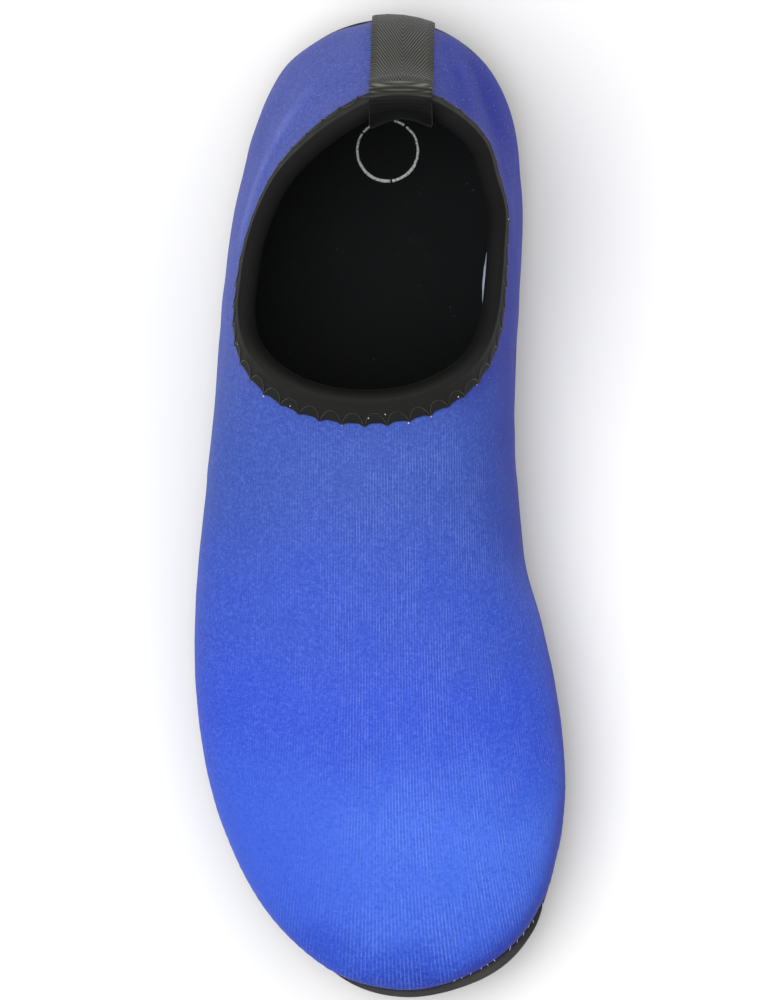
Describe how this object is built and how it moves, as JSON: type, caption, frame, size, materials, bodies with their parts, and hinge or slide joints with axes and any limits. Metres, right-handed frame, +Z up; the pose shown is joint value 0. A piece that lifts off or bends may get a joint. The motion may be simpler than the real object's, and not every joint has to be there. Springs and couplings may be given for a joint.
{
  "type": "water shoe",
  "caption": "Slip-on water shoe for the right foot: hollow knitted upper, cupped rubber sole with tread bars, elastic collar binding and heel pull loop.",
  "frame": {"origin": "bottom centre of the shoe's bounding box, on the surface that it stands on", "axes": "+Z up, +Y towards the heel, so the toe points to -Y, and +X towards the medial side"},
  "size_m": [0.0963, 0.2549, 0.0797],
  "materials": {
    "rubber": "matt moulded rubber, finely grained",
    "knit": "blue ribbed stretch knit with a satin sheen, lighter grey-blue inside",
    "foam": "black cloth-faced foam with a plain printed ring at the heel",
    "elastic": "black elastic tape, zigzag stitched",
    "webbing": "charcoal herringbone webbing"
  },
  "bodies": {
    "root": {"outsole": "rubber", "upper": "knit", "insole": "foam", "collar_binding": "elastic", "heel_pull_loop": "webbing"}
  },
  "joints": []
}
